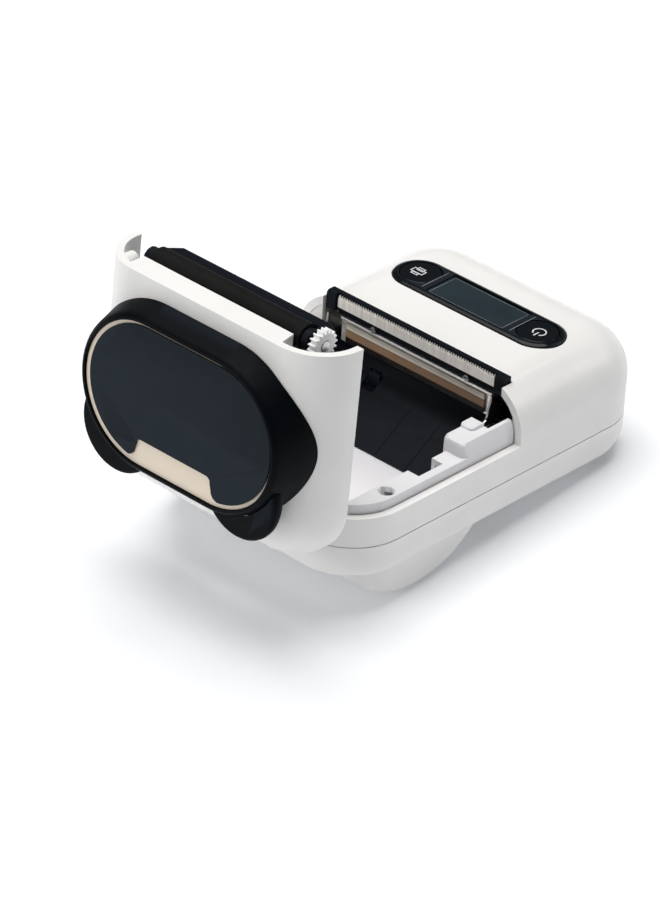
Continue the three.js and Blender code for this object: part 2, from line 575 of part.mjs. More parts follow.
ofBase('motor_pinion', add(gear(PINION.y, PINION.z, TEETH.pinion, ...GEAR_X, 0, PHASE.pinion),
  rodX(PINION.y, PINION.z, 1, 27.3, 31, 16)), 'steel');
ofBase('idler_gear', gear(IDLER.y, IDLER.z, TEETH.idler, ...GEAR_X, 1.09, PHASE.idler), 'black');
ofBase('drive_cover', driveCover(), 'black');
ofBase('main_board', box(-32.5, 32.5, 14.5, 53.5, 23.5, 25.1).intersect(envelope(3, 10, 31)), 'pcb');
ofBase('battery_pack', extrude(roundRect(17, 15, 52, 2.5, 3), 2.9, 12.2, 'Z').translate([-14, 0, 0]), 'cell');
ofBase('charge_socket', extrude(roundRect(4.5, 20, 23.2, 1.55, 5), -57.6, -50.3, 'Y'), 'steel');
ofBase('switch_power', box(18.2, 23.8, PANEL.y - 2.8, PANEL.y + 2.8, 25.2, 26.7), 'black');
ofBase('switch_feed', box(-23.8, -18.2, PANEL.y - 2.8, PANEL.y + 2.8, 25.2, 26.7), 'black');
ofBase('panel_bezel', panelBezel(), 'black');
ofBase('display_window', extrude(roundRect(13.85, PANEL.y - 5.95, PANEL.y + 5.95, 0.5, 3), 32.3, 34.5, 'Z'), 'glass');
ofBase('display_module', box(-14.6, 14.6, PANEL.y - 7, PANEL.y + 7, 28.6, 31.2), 'alu');
ofBase('button_power', buttonCap(1), 'black');
ofBase('button_feed', buttonCap(-1), 'black');
for (const [name, s] of [['L', -1], ['R', 1]]) {
  ofBase(`hinge_pin_${name}`, rodX(HINGE.y, HINGE.z, 1, s > 0 ? 13.4 : -25.6, s > 0 ? 25.6 : -13.4, 16), 'steel');
  ofBase(`belly_pad_${name}`, bellyPad(s), 'rubber');
  ofBase(`rear_pad_${name}`, rearPad(s), 'rubber');
}
SCREW_AT.forEach(([x, y], i) => ofBase(`case_screw_${i + 1}`, screw(x, y), 'steel'));

ofLid('lid_shell', lidShell(), 'white');
ofLid('dome_cover', domeCover(), 'black');
ofLid('inlay_base', inlayBase(), 'beige');
ofLid('inlay_plate', inlayPlate(), 'slate');
ofLid('foot_lobe_L', footLobe(-1), 'black');
ofLid('foot_lobe_R', footLobe(1), 'black');
ofLid('platen_cradle', platenCradle(), 'black');
ofLid('platen_rubber', ringX(PLATEN.y, PLATEN.z, PLATEN.r, PLATEN.shaft + 0.15, -27.4, 24.8), 'rubber');
ofLid('platen_shaft', rodX(PLATEN.y, PLATEN.z, PLATEN.shaft, -31, 31, 20), 'steel');
ofLid('platen_gear', gear(PLATEN.y, PLATEN.z, TEETH.platen, ...GEAR_X, PLATEN.shaft + 0.1, PHASE.platen), 'nylon');

group.updateMatrixWorld(true);
const bounds = new THREE.Box3().setFromObject(group, true);
group.position.set(-(bounds.min.x + bounds.max.x) / 2, -(bounds.min.y + bounds.max.y) / 2, -bounds.min.z);

export default group;
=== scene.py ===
"""Pocket receipt printer with its lid open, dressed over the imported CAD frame."""
import json
import math

import bpy
from mathutils import Matrix, Vector


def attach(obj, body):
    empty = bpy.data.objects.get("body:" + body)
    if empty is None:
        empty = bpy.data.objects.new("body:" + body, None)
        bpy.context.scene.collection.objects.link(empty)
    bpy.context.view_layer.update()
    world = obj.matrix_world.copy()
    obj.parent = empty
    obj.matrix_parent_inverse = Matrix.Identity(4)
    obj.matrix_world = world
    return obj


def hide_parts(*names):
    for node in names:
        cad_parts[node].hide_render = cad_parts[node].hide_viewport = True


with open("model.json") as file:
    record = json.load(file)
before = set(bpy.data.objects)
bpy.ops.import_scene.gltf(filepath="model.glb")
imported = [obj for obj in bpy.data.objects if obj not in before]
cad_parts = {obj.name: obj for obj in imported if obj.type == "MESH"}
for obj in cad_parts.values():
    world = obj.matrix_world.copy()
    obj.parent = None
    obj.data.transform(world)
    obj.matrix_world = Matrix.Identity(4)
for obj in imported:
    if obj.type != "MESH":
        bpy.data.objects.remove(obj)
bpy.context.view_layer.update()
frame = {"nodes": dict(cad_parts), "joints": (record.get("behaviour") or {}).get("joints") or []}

# Driving sizes in millimetres, in the body's own frame: +Y to the display end, z 0 = lower shell floor.
HALF_W, FRONT_Y, REAR_Y, PLAN_R = 40, -59, 59, 17
SHOULDER_R, TOP_Z, RIM_Z, SEAM_Z, SPLIT_Y = 14, 34.2, 18.35, 9.7, 5.3
WALL, GAP, SHELF_Z = 2.2, 0.3, 21.2
TUCK_Z, TUCK_SIDE, TUCK_REAR = 6, 2.2, 5.5
BELLY_Y, BELLY_Z, BELLY_R, BELLY_HALF, BELLY_WALL = -30.5, 21.5, 31.5, 38.2, 2
BAY_HALF, BAY_FRONT, BAY_REAR, BAY_R, BAY_END, BAY_WALL = 31.2, -52, 4.9, 28.2, -39.5, 1.1
BLOCK_X, BLOCK_HALF, BLOCK_Y, BLOCK_R = 33.2, 4.3, (-14.5, 6), 2.4
PAD_X, PAD_HALF, PAD_Y, PAD_R = 31.4, 2.3, (-7.6, -1), 1.4
BULKHEADS = ((-39, -32.2, 19.4, 31.4), (36.2, 39, 17, 27.5))
RIB_AT, RIB_WIDE, RIB_PROUD = (1.6, 12.3), 0.3, 0.12
HINGE = (0, -56.1, 12.05)
KNUCKLE_R, PIN_HOLE_R, LUGS, ARM_X = 2.2, 1.08, ((13.6, 16.6), (22.4, 25.4)), (17, 22)
TILT = math.radians(5.8)
PLATEN_Y, PLATEN_Z, PLATEN_R, SHAFT_R = 3.1, 22.55, 3.75, 1.5
IDLER_Y, IDLER_Z, GEAR_ROOM_R = 11.4, 15.45, 7.6
PANEL_Y, PANEL_HALF, PANEL_R, PANEL_TOP = 31.85, 28.7, 7.75, 34.95
DOME_Y, DOME_HALF, DOME_R, DOME_TOP = -23.5, 34.3, 21.75, 41.85
DOME_BASE = DOME_HALF - DOME_R
MARK_Z = (PANEL_TOP - 0.1, PANEL_TOP + 0.03)
LENS_TOP, LENS_HALF_X, LENS_HALF_Y = 34.5, 13.85, 5.95
PANEL_LINES = ((15.5, 5.4, 0.28, PANEL_TOP + 0.01), (12.9, 5.5, 0.2, LENS_TOP))
TEAR_HALF, TEAR_Y, TEAR_TEETH, TEAR_LOW, TEAR_ROOT, TEAR_TIP = 28.1, 6.9, 66, 30.6, 33.1, 34.3
SCREWS = [(34.9, 1), (-34.9, 1), (35, 44), (-35, 44)]
BOSS_R, HEAD_HOLE_R, SCREW_HOLE_R = 3.4, 2.7, 1.4
LOBE_X, BUTTON_X, BUTTON_R, BUTTON_FLAT = 21.7, 21.4, 5.75, 16.1

lid_joint = next(j for j in frame["joints"] if j["name"] == "lid_hinge")
OPEN = -math.radians(lid_joint["range_deg"][0])
HINGE_AT = Vector(lid_joint["pos_m"])
BODY = (Matrix.Translation(HINGE_AT) @ Matrix.Rotation(-TILT, 4, "X") @ Matrix.Scale(0.001, 4)
        @ Matrix.Translation(-Vector(HINGE)))
LID = (Matrix.Translation(HINGE_AT) @ Matrix.Rotation(OPEN - TILT, 4, "X") @ Matrix.Scale(0.001, 4)
       @ Matrix.Translation(-Vector(HINGE)))


# ---- camera ------------------------------------------------------------------
def make_camera():
    """A long lens 1.5 m away, 41 degrees round to the right and 31 degrees up in the body's frame."""
    az, el, roll, far = math.radians(41.04), math.radians(31.15), math.radians(3.88), 1500
    aside, above = -16.03, 1.16
    back = Vector((math.sin(az) * math.cos(el), -math.cos(az) * math.cos(el), math.sin(el)))
    right = Vector((math.cos(az), math.sin(az), 0))
    up = back.cross(right)
    right, up = (math.cos(roll) * right + math.sin(roll) * up, math.cos(roll) * up - math.sin(roll) * right)
    place = back * far + right * aside + up * above
    turn = BODY.to_3x3().normalized()
    axes = Matrix((turn @ right, turn @ up, turn @ back)).transposed().to_4x4()
    data = bpy.data.cameras.new("camera")
    data.lens = 225
    data.sensor_width = 36
    data.clip_end = 20
    cam = bpy.data.objects.new("camera", data)
    cam.matrix_world = Matrix.Translation(BODY @ place) @ axes
    bpy.context.scene.collection.objects.link(cam)
    bpy.context.scene.camera = cam


# ---- solids -------------------------------------------------------------------
def solid(verts, faces):
    mesh = bpy.data.meshes.new("solid")
    mesh.from_pydata([tuple(v) for v in verts], [], faces)
    obj = bpy.data.objects.new("solid", mesh)
    bpy.context.scene.collection.objects.link(obj)
    return obj


def loft(rings):
    """Closed solid through rings of (z, [(x, y), ...]) with equal point counts, anticlockwise, rising."""
    n = len(rings[0][1])
    verts = [(x, y, z) for z, pts in rings for x, y in pts]
    faces = [list(range(n - 1, -1, -1)), [(len(rings) - 1) * n + i for i in range(n)]]
    for k in range(len(rings) - 1):
        for i in range(n):
            a, b = k * n + i, k * n + (i + 1) % n
            faces.append([a, b, b + n, a + n])
    return solid(verts, faces)


def extrude(pts, lo, hi, axis="Z"):
    """Extrudes an outline. Axis X reads [y, z] points, Y reads [x, z] and Z reads [x, y]."""
    area = sum(a[0] * b[1] - b[0] * a[1] for a, b in zip(pts, pts[1:] + pts[:1]))
    if area < 0:
        pts = pts[::-1]
    order = {"X": (2, 0, 1), "Y": (0, 2, 1), "Z": (0, 1, 2)}[axis]
    n = len(pts)
    verts = [[(a, b, t)[k] for k in order] for t in (lo, hi) for a, b in pts]
    faces = [list(range(n - 1, -1, -1)), list(range(n, 2 * n))]
    faces += [[i, (i + 1) % n, (i + 1) % n + n, i + n] for i in range(n)]
    if axis == "Y":
        faces = [f[::-1] for f in faces]
    return solid(verts, faces)


def box(x0, x1, y0, y1, z0, z1):
    return extrude([(x0, y0), (x1, y0), (x1, y1), (x0, y1)], z0, z1)


def arc(cx, cy, r, a0, a1, n):
    return [(cx + r * math.cos(math.radians(a0 + (a1 - a0) * i / n)),
             cy + r * math.sin(math.radians(a0 + (a1 - a0) * i / n))) for i in range(n + 1)]


def circle(cx, cy, r, n=48):
    return arc(cx, cy, r, 0, 360 * (n - 1) / n, n - 1)


def round_rect(half, y0, y1, r, n=12, cx=0):
    out = []
    for sx, cy, a in ((1, y1 - r, 0), (-1, y1 - r, 90), (-1, y0 + r, 180), (1, y0 + r, 270)):
        out += arc(cx + sx * (half - r), cy, r, a, a + 90, n)
    return out


def stadium(cx, cy, half, r, n=36):
    return arc(cx + half - r, cy, r, -90, 90, n) + arc(cx - half + r, cy, r, 90, 270, n)


def rod_x(y, z, r, x0, x1, n=48):
    return extrude(circle(y, z, r, n), x0, x1, "X")


def rod_z(x, y, r, z0, z1, n=40):
    return extrude(circle(x, y, r, n), z0, z1)


def bake(obj):
    evaluated = obj.evaluated_get(bpy.context.evaluated_depsgraph_get())
    old, obj.data = obj.data, bpy.data.meshes.new_from_object(evaluated)
    obj.modifiers.clear()
    bpy.data.meshes.remove(old)
    return obj


def combine(base, mode, tools):
    for tool in tools:
        mod = base.modifiers.new("cut", "BOOLEAN")
        mod.operation, mod.solver, mod.object = mode, "MANIFOLD", tool
    bake(base)
    for tool in tools:
        bpy.data.objects.remove(tool)
    return base


def cut(base, *tools):
    return combine(base, "DIFFERENCE", tools)


def triangulated(obj):
    """Splits many-sided faces into triangles, so that no outline with notches is filled across them."""
    obj.modifiers.new("split", "TRIANGULATE")
    return bake(obj)


def add(base, *tools):
    return combine(base, "UNION", tools)


def meet(base, *tools):
    return combine(base, "INTERSECT", tools)


# ---- materials ----------------------------------------------------------------
class Nodes:
    """A short way to write a material's node tree."""

    def __init__(self, name):
        self.mat = bpy.data.materials.new(name)
        self.mat.use_nodes = True
        self.tree = self.mat.node_tree
        self.shader = self.tree.nodes["Principled BSDF"]
        self.coord = self.tree.nodes.new("ShaderNodeTexCoord")

    def node(self, kind, **values):
        n = self.tree.nodes.new("ShaderNode" + kind)
        for key, value in values.items():
            n.inputs[key.replace("_", " ")].default_value = value
        return n

    def link(self, out, into):
        self.tree.links.new(out, into)

    def noise(self, scale, detail=4, stretch=(1, 1, 1)):
        mapping = self.node("Mapping")
        mapping.inputs["Scale"].default_value = stretch
        self.link(self.coord.outputs["Object"], mapping.inputs["Vector"])
        n = self.node("TexNoise", Scale=scale, Detail=detail)
        self.link(mapping.outputs["Vector"], n.inputs["Vector"])
        return n.outputs["Fac"]

    def span(self, value, lo, hi, low_in=0.3, high_in=0.7):
        n = self.node("MapRange", From_Min=low_in, From_Max=high_in, To_Min=lo, To_Max=hi)
        self.link(value, n.inputs["Value"])
        return n.outputs["Result"]

    def mix(self, factor, a, b, blend="MIX"):
        """Mixes two colours, each given as a colour or as another node's output."""
        n = self.tree.nodes.new("ShaderNodeMix")
        n.data_type, n.blend_type = "RGBA", blend
        for value, socket in ((factor, n.inputs[0]), (a, n.inputs[6]), (b, n.inputs[7])):
            if isinstance(value, bpy.types.NodeSocket):
                self.link(value, socket)
            else:
                socket.default_value = value if socket == n.inputs[0] else (*value, 1)
        return n.outputs[2]

    def bump(self, height, strength, distance):
        n = self.node("Bump", Strength=strength, Distance=distance)
        self.link(height, n.inputs["Height"])
        if self.shader.inputs["Normal"].links:
            self.link(self.shader.inputs["Normal"].links[0].from_socket, n.inputs["Normal"])
        self.link(n.outputs["Normal"], self.shader.inputs["Normal"])


def moulded(name, colour, rough, grain=2600, depth=0.02, edge_wear_and_highlight_gain=1.12, ior=1.46, coat=0.0, shine=0.5):
    """Moulded plastic: spark-eroded grain, a faint cloudy tone, and sharp edges painted lighter, partly as
    wear and partly as a painted highlight.
    """
    m = Nodes(name)
    cloud = m.noise(45, 3)
    tone = m.mix(m.span(cloud, 0, 1), [c * 0.965 for c in colour], [min(1, c * 1.02) for c in colour])
    # Sharp edges are painted lighter: a little wear, and on the dark plastics mostly a painted highlight.
    edge_wear_and_highlight_mask = m.span(m.node("NewGeometry").outputs["Pointiness"], 0, 0.6, 0.52, 0.6)
    edge_wear_and_highlight_colour = [min(1, c * edge_wear_and_highlight_gain + 0.004) for c in colour]
    m.link(m.mix(edge_wear_and_highlight_mask, tone, edge_wear_and_highlight_colour), m.shader.inputs["Base Color"])
    m.link(m.span(m.noise(300, 5), rough - 0.05, rough + 0.05), m.shader.inputs["Roughness"])
    m.bump(m.noise(grain, 2), depth, 0.00005)
    m.shader.inputs["IOR"].default_value = ior
    m.shader.inputs["Specular IOR Level"].default_value = shine
    m.shader.inputs["Coat Weight"].default_value = coat
    m.shader.inputs["Coat Roughness"].default_value = 0.08
    return m.mat


def brushed(name, colour, rough, stretch, strength=0.25, metal=1.0):
    """Rolled or brushed metal with fine lines along one direction."""
    m = Nodes(name)
    lines = m.noise(900, 3, stretch)
    m.link(m.mix(m.span(lines, 0, 1), [c * 0.8 for c in colour], colour), m.shader.inputs["Base Color"])
    m.link(m.span(m.noise(500, 4, stretch), rough - 0.08, rough + 0.1), m.shader.inputs["Roughness"])
    m.shader.inputs["Metallic"].default_value = metal
    m.bump(lines, strength, 0.00004)
    return m.mat


def rubbery(name, colour, rough, shine=0.3):
    """Matt rubber with a dusty tone and a fine cast grain."""
    m = Nodes(name)
    m.shader.inputs["Specular IOR Level"].default_value = shine
    tone = m.mix(m.span(m.noise(120, 4), 0, 1), colour, [c * 1.5 for c in colour])
    m.link(tone, m.shader.inputs["Base Color"])
    m.link(m.span(m.noise(400, 4), rough - 0.08, rough + 0.06), m.shader.inputs["Roughness"])
    m.bump(m.noise(3500, 3), 0.25, 0.00006)
    return m.mat


def printed_ceramic():
    """Glazed strip in bands: dark foot, brown heater glaze, a cream line, and the bright upper land."""
    m = Nodes("ceramic_bands")
    split = m.node("SeparateXYZ")
    m.link(m.coord.outputs["Generated"], split.inputs["Vector"])
    ramp = m.tree.nodes.new("ShaderNodeValToRGB")
    ramp.color_ramp.interpolation = "CONSTANT"
    bands = [(0, (0.012, 0.009, 0.008)), (0.27, (0.05, 0.032, 0.022)), (0.32, (0.33, 0.205, 0.125)),
             (0.70, (0.10, 0.065, 0.045)), (0.735, (0.74, 0.67, 0.56)), (0.9, (0.5, 0.47, 0.42))]
    ramp.color_ramp.elements.remove(ramp.color_ramp.elements[1])
    ramp.color_ramp.elements[0].color = (*bands[0][1], 1)
    for at, colour in bands[1:]:
        ramp.color_ramp.elements.new(at).color = (*colour, 1)
    m.link(split.outputs["Z"], ramp.inputs["Fac"])
    streaks = m.mix(m.span(m.noise(260, 4, (0.25, 1, 1)), 0, 1), (0.8, 0.78, 0.76), (1, 1, 1))
    m.link(m.mix(1, ramp.outputs["Color"], streaks, "MULTIPLY"), m.shader.inputs["Base Color"])
    m.link(m.span(m.noise(500, 3), 0.26, 0.4), m.shader.inputs["Roughness"])
    m.shader.inputs["Specular IOR Level"].default_value = 0.12
    m.bump(m.noise(1500, 2), 0.05, 0.00005)
    return m.mat


def display_glass():
    """Grey-green liquid crystal behind a clear coat, with a fine pixel mesh and a faint cloudy tone."""
    m = Nodes("display_glass")
    cells = m.tree.nodes.new("ShaderNodeTexVoronoi")
    cells.inputs["Scale"].default_value = 2500
    m.link(m.coord.outputs["Object"], cells.inputs["Vector"])
    fade = m.mix(m.span(m.noise(60, 2), 0, 1), (0.008, 0.018, 0.024), (0.016, 0.030, 0.038))
    m.link(fade, m.shader.inputs["Base Color"])
    m.link(m.span(cells.outputs["Distance"], 0.10, 0.17, 0, 1), m.shader.inputs["Roughness"])
    m.shader.inputs["Coat Weight"].default_value = 0.25
    m.shader.inputs["Coat Roughness"].default_value = 0.04
    return m.mat


# The seventh number lifts sharp edges: slight wear on the light plastics, and a painted highlight on the
# black ones.
WHITE = moulded("housing_plastic", (0.86, 0.848, 0.83), 0.36, 1800, 0.03, 1.03, coat=0.12)
# White bay plastic painted a darker, slightly blue grey: painted shade for the shadow inside the bay.
BAY_WHITE_PAINTED_SHADE = moulded("bay_plastic_painted_shade", (0.79, 0.78, 0.80), 0.46, 1500, 0.06, 1.02)
BLACK = moulded("black_plastic", (0.0028, 0.0038, 0.006), 0.48, 2200, 0.12, 3.0, shine=0.07)
SOFT_BLACK = moulded("soft_touch_black", (0.0012, 0.0022, 0.0035), 0.48, 3000, 0.10, 6.0, shine=0.06)
SLATE = moulded("slate_plate", (0.0095, 0.0150, 0.0200), 0.55, 2600, 0.16, 1.5, shine=0.07)
BEIGE = moulded("champagne_inlay", (0.80, 0.69, 0.56), 0.34, 2000, 0.06, 1.05, coat=0.1)
GLOSS = moulded("gloss_black", (0.0022, 0.0032, 0.0045), 0.17, 900, 0.01, 6.0, shine=0.2)
NYLON = moulded("nylon", (0.90, 0.90, 0.90), 0.38, 1500, 0.08, 1.02)
MARK = moulded("printed_mark", (0.75, 0.77, 0.78), 0.45)
LINE = moulded("moulded_line", (0.16, 0.165, 0.18), 0.3)
BOARD = moulded("solder_mask", (0.02, 0.12, 0.05), 0.35, 900, 0.15)
FILM = moulded("battery_film", (0.10, 0.19, 0.33), 0.4, 700, 0.1)
RUBBER = rubbery("rubber", (0.0055, 0.0052, 0.0052), 0.68, 0.09)
STEEL = brushed("rolled_steel", (0.62, 0.61, 0.59), 0.3, (0.04, 1, 1))
SCREW = brushed("screw_steel", (0.34, 0.34, 0.35), 0.34, (1, 0.3, 1))
BLADE = brushed("blade_steel", (0.94, 0.90, 0.84), 0.42, (1, 0.05, 0.05), metal=0.35)
ALU = brushed("head_aluminium", (0.88, 0.86, 0.82), 0.32, (0.04, 1, 1), metal=0.8)
CERAMIC = printed_ceramic()
LENS = display_glass()
INNER_NODES = ((STEEL, "motor_plate stepper_motor motor_pinion charge_socket"), (ALU, "display_module"),
               (BLACK, "idler_gear drive_cover switch_power switch_feed"), (BOARD, "main_board"),
               (FILM, "battery_pack"))


# ---- finishing ------------------------------------------------------------------
def soften(obj, width, angle=30, segments=3):
    """Rounds the sharp edges and evens the shading, so that every edge takes a highlight."""
    edge = obj.modifiers.new("edge", "BEVEL")
    edge.width, edge.segments, edge.limit_method = width, segments, "ANGLE"
    edge.angle_limit, edge.miter_outer = math.radians(angle), "MITER_ARC"
    shade = obj.modifiers.new("shade", "WEIGHTED_NORMAL")
    shade.keep_sharp = False
    shade.weight = 100


def piece(obj, name, body, material, nodes=(), edge=0.15, angle=30, place=None):
    """Moves a solid from body millimetres to the row, names it, dresses it and makes it ride."""
    obj.data.transform(place or (LID if body in ("lid", "platen") else BODY))
    obj.name = obj.data.name = name
    for poly in obj.data.polygons:
        poly.use_smooth = True
    obj.data.materials.clear()
    obj.data.materials.append(material)
    if edge:
        soften(obj, edge / 1000, angle)
    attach(obj, body)
    if nodes:
        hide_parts(*nodes)
    return obj


def dress(node, material, edge=0.12, angle=30):
    """Keeps a CAD node's shape, and gives it a material and soft edges."""
    obj = frame["nodes"][node]
    obj.data.materials.clear()
    obj.data.materials.append(material)
    weld = obj.modifiers.new("weld", "WELD")
    weld.merge_threshold = 1e-6
    flat = obj.modifiers.new("flat", "DECIMATE")
    flat.decimate_type, flat.angle_limit = "DISSOLVE", math.radians(0.6)
    soften(obj, edge / 1000, angle, 2)


# ---- the outer envelope ------------------------------------------------------------
def inset_at(z, off):
    """How far the side and rear walls stand in at a height, for a skin offset inwards."""
    if z + off > TOP_Z - SHOULDER_R:
        r = SHOULDER_R - off
        k = min(1, max(0, z - (TOP_Z - SHOULDER_R)) / r)
        t = off + r * (1 - math.sqrt(1 - k * k))
        return t, t
    if z < TUCK_Z:
        t = 1 - math.sqrt(max(0, 1 - ((TUCK_Z - z) / TUCK_Z) ** 2))
        return off + TUCK_SIDE * t, off + TUCK_REAR * t
    return off, off


def envelope(off, low, high):
    """The case's outer form between two heights, moved inwards by off."""
    levels = [TUCK_Z - TUCK_Z * math.cos(math.radians(9 * i)) for i in range(11)]
    round_r = SHOULDER_R - max(off, 0)
    levels += [TOP_Z - SHOULDER_R + round_r * math.sin(math.radians(4.5 * i)) for i in range(21)]
    zs = [low] + [z for z in levels if low + 0.02 < z < high - 0.02] + [high]
    rings = []
    for z in zs:
        side, rear = inset_at(z, off)
        r = max(PLAN_R - max(side, 0), WALL)
        rings.append((z, round_rect(HALF_W - side, FRONT_Y + side, REAR_Y - rear, r, 18)))
    return loft(rings)


def belly(off):
    """The round belly under the bay, with softened ends, moved inwards by off."""
    r = BELLY_R - off
    half = math.degrees(math.acos((BELLY_Z - 4) / r))
    hx = BELLY_HALF - off
    layers = []
    for inward, depth in ((1.6, 0), (1.1, 0.1), (0.7, 0.35), (0.3, 0.85), (0, 1.6)):
        pts = arc(BELLY_Y, BELLY_Z, r - depth, -90 - half, -90 + half, 60)
        layers.append(extrude(pts, -hx + inward, hx - inward, "X"))
    body = add(layers[0], *layers[1:])
    plan = round_rect(BELLY_HALF - off, FRONT_Y + 1.2 + off, 10, PLAN_R - 2.4 - off, 18)
    return meet(body, extrude(plan, -20, 6))


def lower_shell():
    """The bottom case with its round belly, four screw bosses and a cut for the hinge."""
    outer = add(envelope(0, 0, SEAM_Z - GAP / 2), belly(0))
    body = cut(outer, envelope(WALL, WALL, SEAM_Z + 5), belly(BELLY_WALL))
    for x, y in SCREWS:
        body = add(body, meet(rod_z(x, y, BOSS_R, 1, SEAM_Z - GAP / 2), envelope(0.5, 0.2, SEAM_Z)))
        body = cut(body, rod_z(x, y, HEAD_HOLE_R, -1, 4.4), rod_z(x, y, SCREW_HOLE_R, 4, 14))
    body = cut(body, box(-26.2, 26.2, -60, -54.5, 7.5, 12))
    piece(body, "lower_case", "base", WHITE, ["lower_shell"], 0.16)


def hinge_lugs(body, side):
    """Adds one side's two lugs around the hinge line, with the slot between them and the pin's bore."""
    _, y, z = HINGE
    for a, b in LUGS:
        x0 = a if side > 0 else -b
        web = box(x0, x0 + 3, -57.2, y, z - KNUCKLE_R, z + KNUCKLE_R)
        body = add(body, add(rod_x(y, z, KNUCKLE_R, x0, x0 + 3), web))
    lo, hi = (16.6, 22.4) if side > 0 else (-22.4, -16.6)
    return cut(body, box(lo, hi, -60, -53, 9.6, 20), rod_x(y, z, PIN_HOLE_R, lo - 3.5, hi + 3.5))


def upper_shell():
    """The top case: a low rim around the bay, and the full height behind the roller."""
    outer = cut(envelope(0, SEAM_Z + GAP / 2, TOP_Z), box(-50, 50, -70, SPLIT_Y, RIM_Z, 50))
    body = cut(outer, envelope(WALL, SEAM_Z - 1, TOP_Z - WALL))
    ring = meet(cut(envelope(0, 7.6, 11), envelope(WALL, 6, 12)), box(-26, 26, -60, -54, 7, 11))
    body = add(body, ring)
    for side in (-1, 1):
        body = hinge_lugs(body, side)
    for x0, x1, z0, z1 in BULKHEADS:
        body = add(body, meet(box(x0, x1, 5.6, 6.8, z0, z1), envelope(1, 9, 33)))
    trim = cut(box(-34, 34, -60, HINGE[1], 14, 19), rod_x(*HINGE[1:], 6.1, -35, 35, 96))
    panel_hole = extrude(stadium(0, PANEL_Y, PANEL_HALF + 0.15, PANEL_R + 0.15), 30, 40)
    body = cut(body, trim, panel_hole, box(-32, 32, 5, 9.5, 28, 40))
    socket_hole = extrude(round_rect(4.9, 19.75, 23.45, 1.7, 8), 50, 62, "Y")
    body = cut(body, socket_hole)
    piece(body, "upper_case", "base", WHITE, ["upper_shell"], 0.22)


def bay_arc(r, front, n=48):
    start = -180 + math.degrees(math.acos(min(1, (BELLY_Y - front) / r)))
    return arc(BELLY_Y, BELLY_Z, r, start, BAY_END, n)


def bay_tray():
    """The deep tray under the roll, open at the back where the guide wall closes it."""
    front = BAY_FRONT - BAY_WALL
    outline = [(-3, 9), (-3, 16.8), (BAY_REAR, 16.8), (BAY_REAR, SHELF_Z), (front, SHELF_Z)]
    outline += bay_arc(BAY_R + BAY_WALL, front)
    room = [(9, 6), (9, 30), (BAY_FRONT, 30)] + bay_arc(BAY_R, BAY_FRONT) + [(14.5, -6)]
    tray = extrude(outline, -BAY_HALF - 1.2, BAY_HALF + 1.2, "X")
    return cut(tray, extrude(room, -BAY_HALF, BAY_HALF, "X"))


def bay_shelf():
    """The flat shelf around the bay, with cheeks that close the slot in front of the upper case."""
    plate = meet(envelope(2.5, 16, SHELF_Z), box(-50, 50, -60, BAY_REAR, 10, 30))
    opening = box(-BAY_HALF, BAY_HALF, BAY_FRONT, 10, 10, 30)
    plate = cut(plate, envelope(4, 15, SHELF_Z - 1.7), opening)
    cheeks = meet(envelope(2.5, 18, 25.2), box(-50, 50, BAY_REAR - 1, BAY_REAR, 18, 25.2))
    return add(plate, cut(cheeks, box(-35.3, 35.3, 0, 10, 15, 30)))


def bay_block(s):
    """A rounded block beside the bay; the right one has a raised pad on its rear inner corner."""
    rings = [(z, round_rect(BLOCK_HALF - d, BLOCK_Y[0] + d, BLOCK_Y[1], BLOCK_R - d, 10, s * BLOCK_X))
             for z, d in ((18, 0), (23.7, 0.1), (24.4, 0.25), (24.9, 0.55), (25.2, 1.2))]
    block = meet(loft(rings), meet(envelope(2.5, 17, 26), box(-50, 50, -20, BAY_REAR, 0, 30)))
    if s < 0:
        return block
    rings = [(z, round_rect(PAD_HALF - d, PAD_Y[0] + d, PAD_Y[1], PAD_R - d, 8, PAD_X))
             for z, d in ((20, 0), (25.6, 0), (25.9, 0.1), (26, 0.3))]
    return add(block, loft(rings))


def bay_pockets(s):
    """Rooms for the gears or the cradle, a notch, a locating hole, the hinge and a case screw boss."""
    def room(a, b, *rest):
        return box(*((a, b) if s > 0 else (-b, -a)), *rest)
    gears = room(27, 35.2, -2.9 if s > 0 else -6.8, 6, 13.5, 30)
    notch, hinge = room(BAY_HALF - 1, 35, -29.2, -20, 15.5, 30), room(13.2, 25.8, -60, -53.2, 0, 30)
    boss = rod_z(s * SCREWS[0][0], SCREWS[0][1], BOSS_R + 0.35, -6, 17)
    return [gears, notch, rod_z(s * 34.3, -40.8, 2.3, 15, 30), hinge, boss]


def paper_bay():
    """The white tray and shelf, trimmed to the case corners and opened behind for the mechanism."""
    body = add(bay_tray(), bay_shelf())
    for s in (-1, 1):
        body = cut(add(body, bay_block(s)), *bay_pockets(s))
    corners = extrude(round_rect(HALF_W - 3.7, FRONT_Y + 3.7, 30, PLAN_R - 3.7), -20, 12)
    deep = extrude(round_rect(BELLY_HALF - 2.4, FRONT_Y + 3.6, 30, PLAN_R - 4.9), -20, 12)
    body = cut(body, cut(box(-40, 40, -60, 8, -20, 11.9), corners),
               cut(box(-40, 40, -60, 8, -20, 2.9), deep))
    behind = cut(box(-BAY_HALF, BAY_HALF, -16, -2.9, 14, 30), box(28.9, 40, -20, 6, 18, 30),
                 box(-40, -28.9, -20, 6, 18, 30))
    body = cut(body, behind, rod_x(IDLER_Y, IDLER_Z, GEAR_ROOM_R, 27, BAY_HALF))
    # The tray and shelf take the grey that has painted shade in it.
    piece(triangulated(body), "paper_tray", "base", BAY_WHITE_PAINTED_SHADE, ["paper_bay"], 0.25)


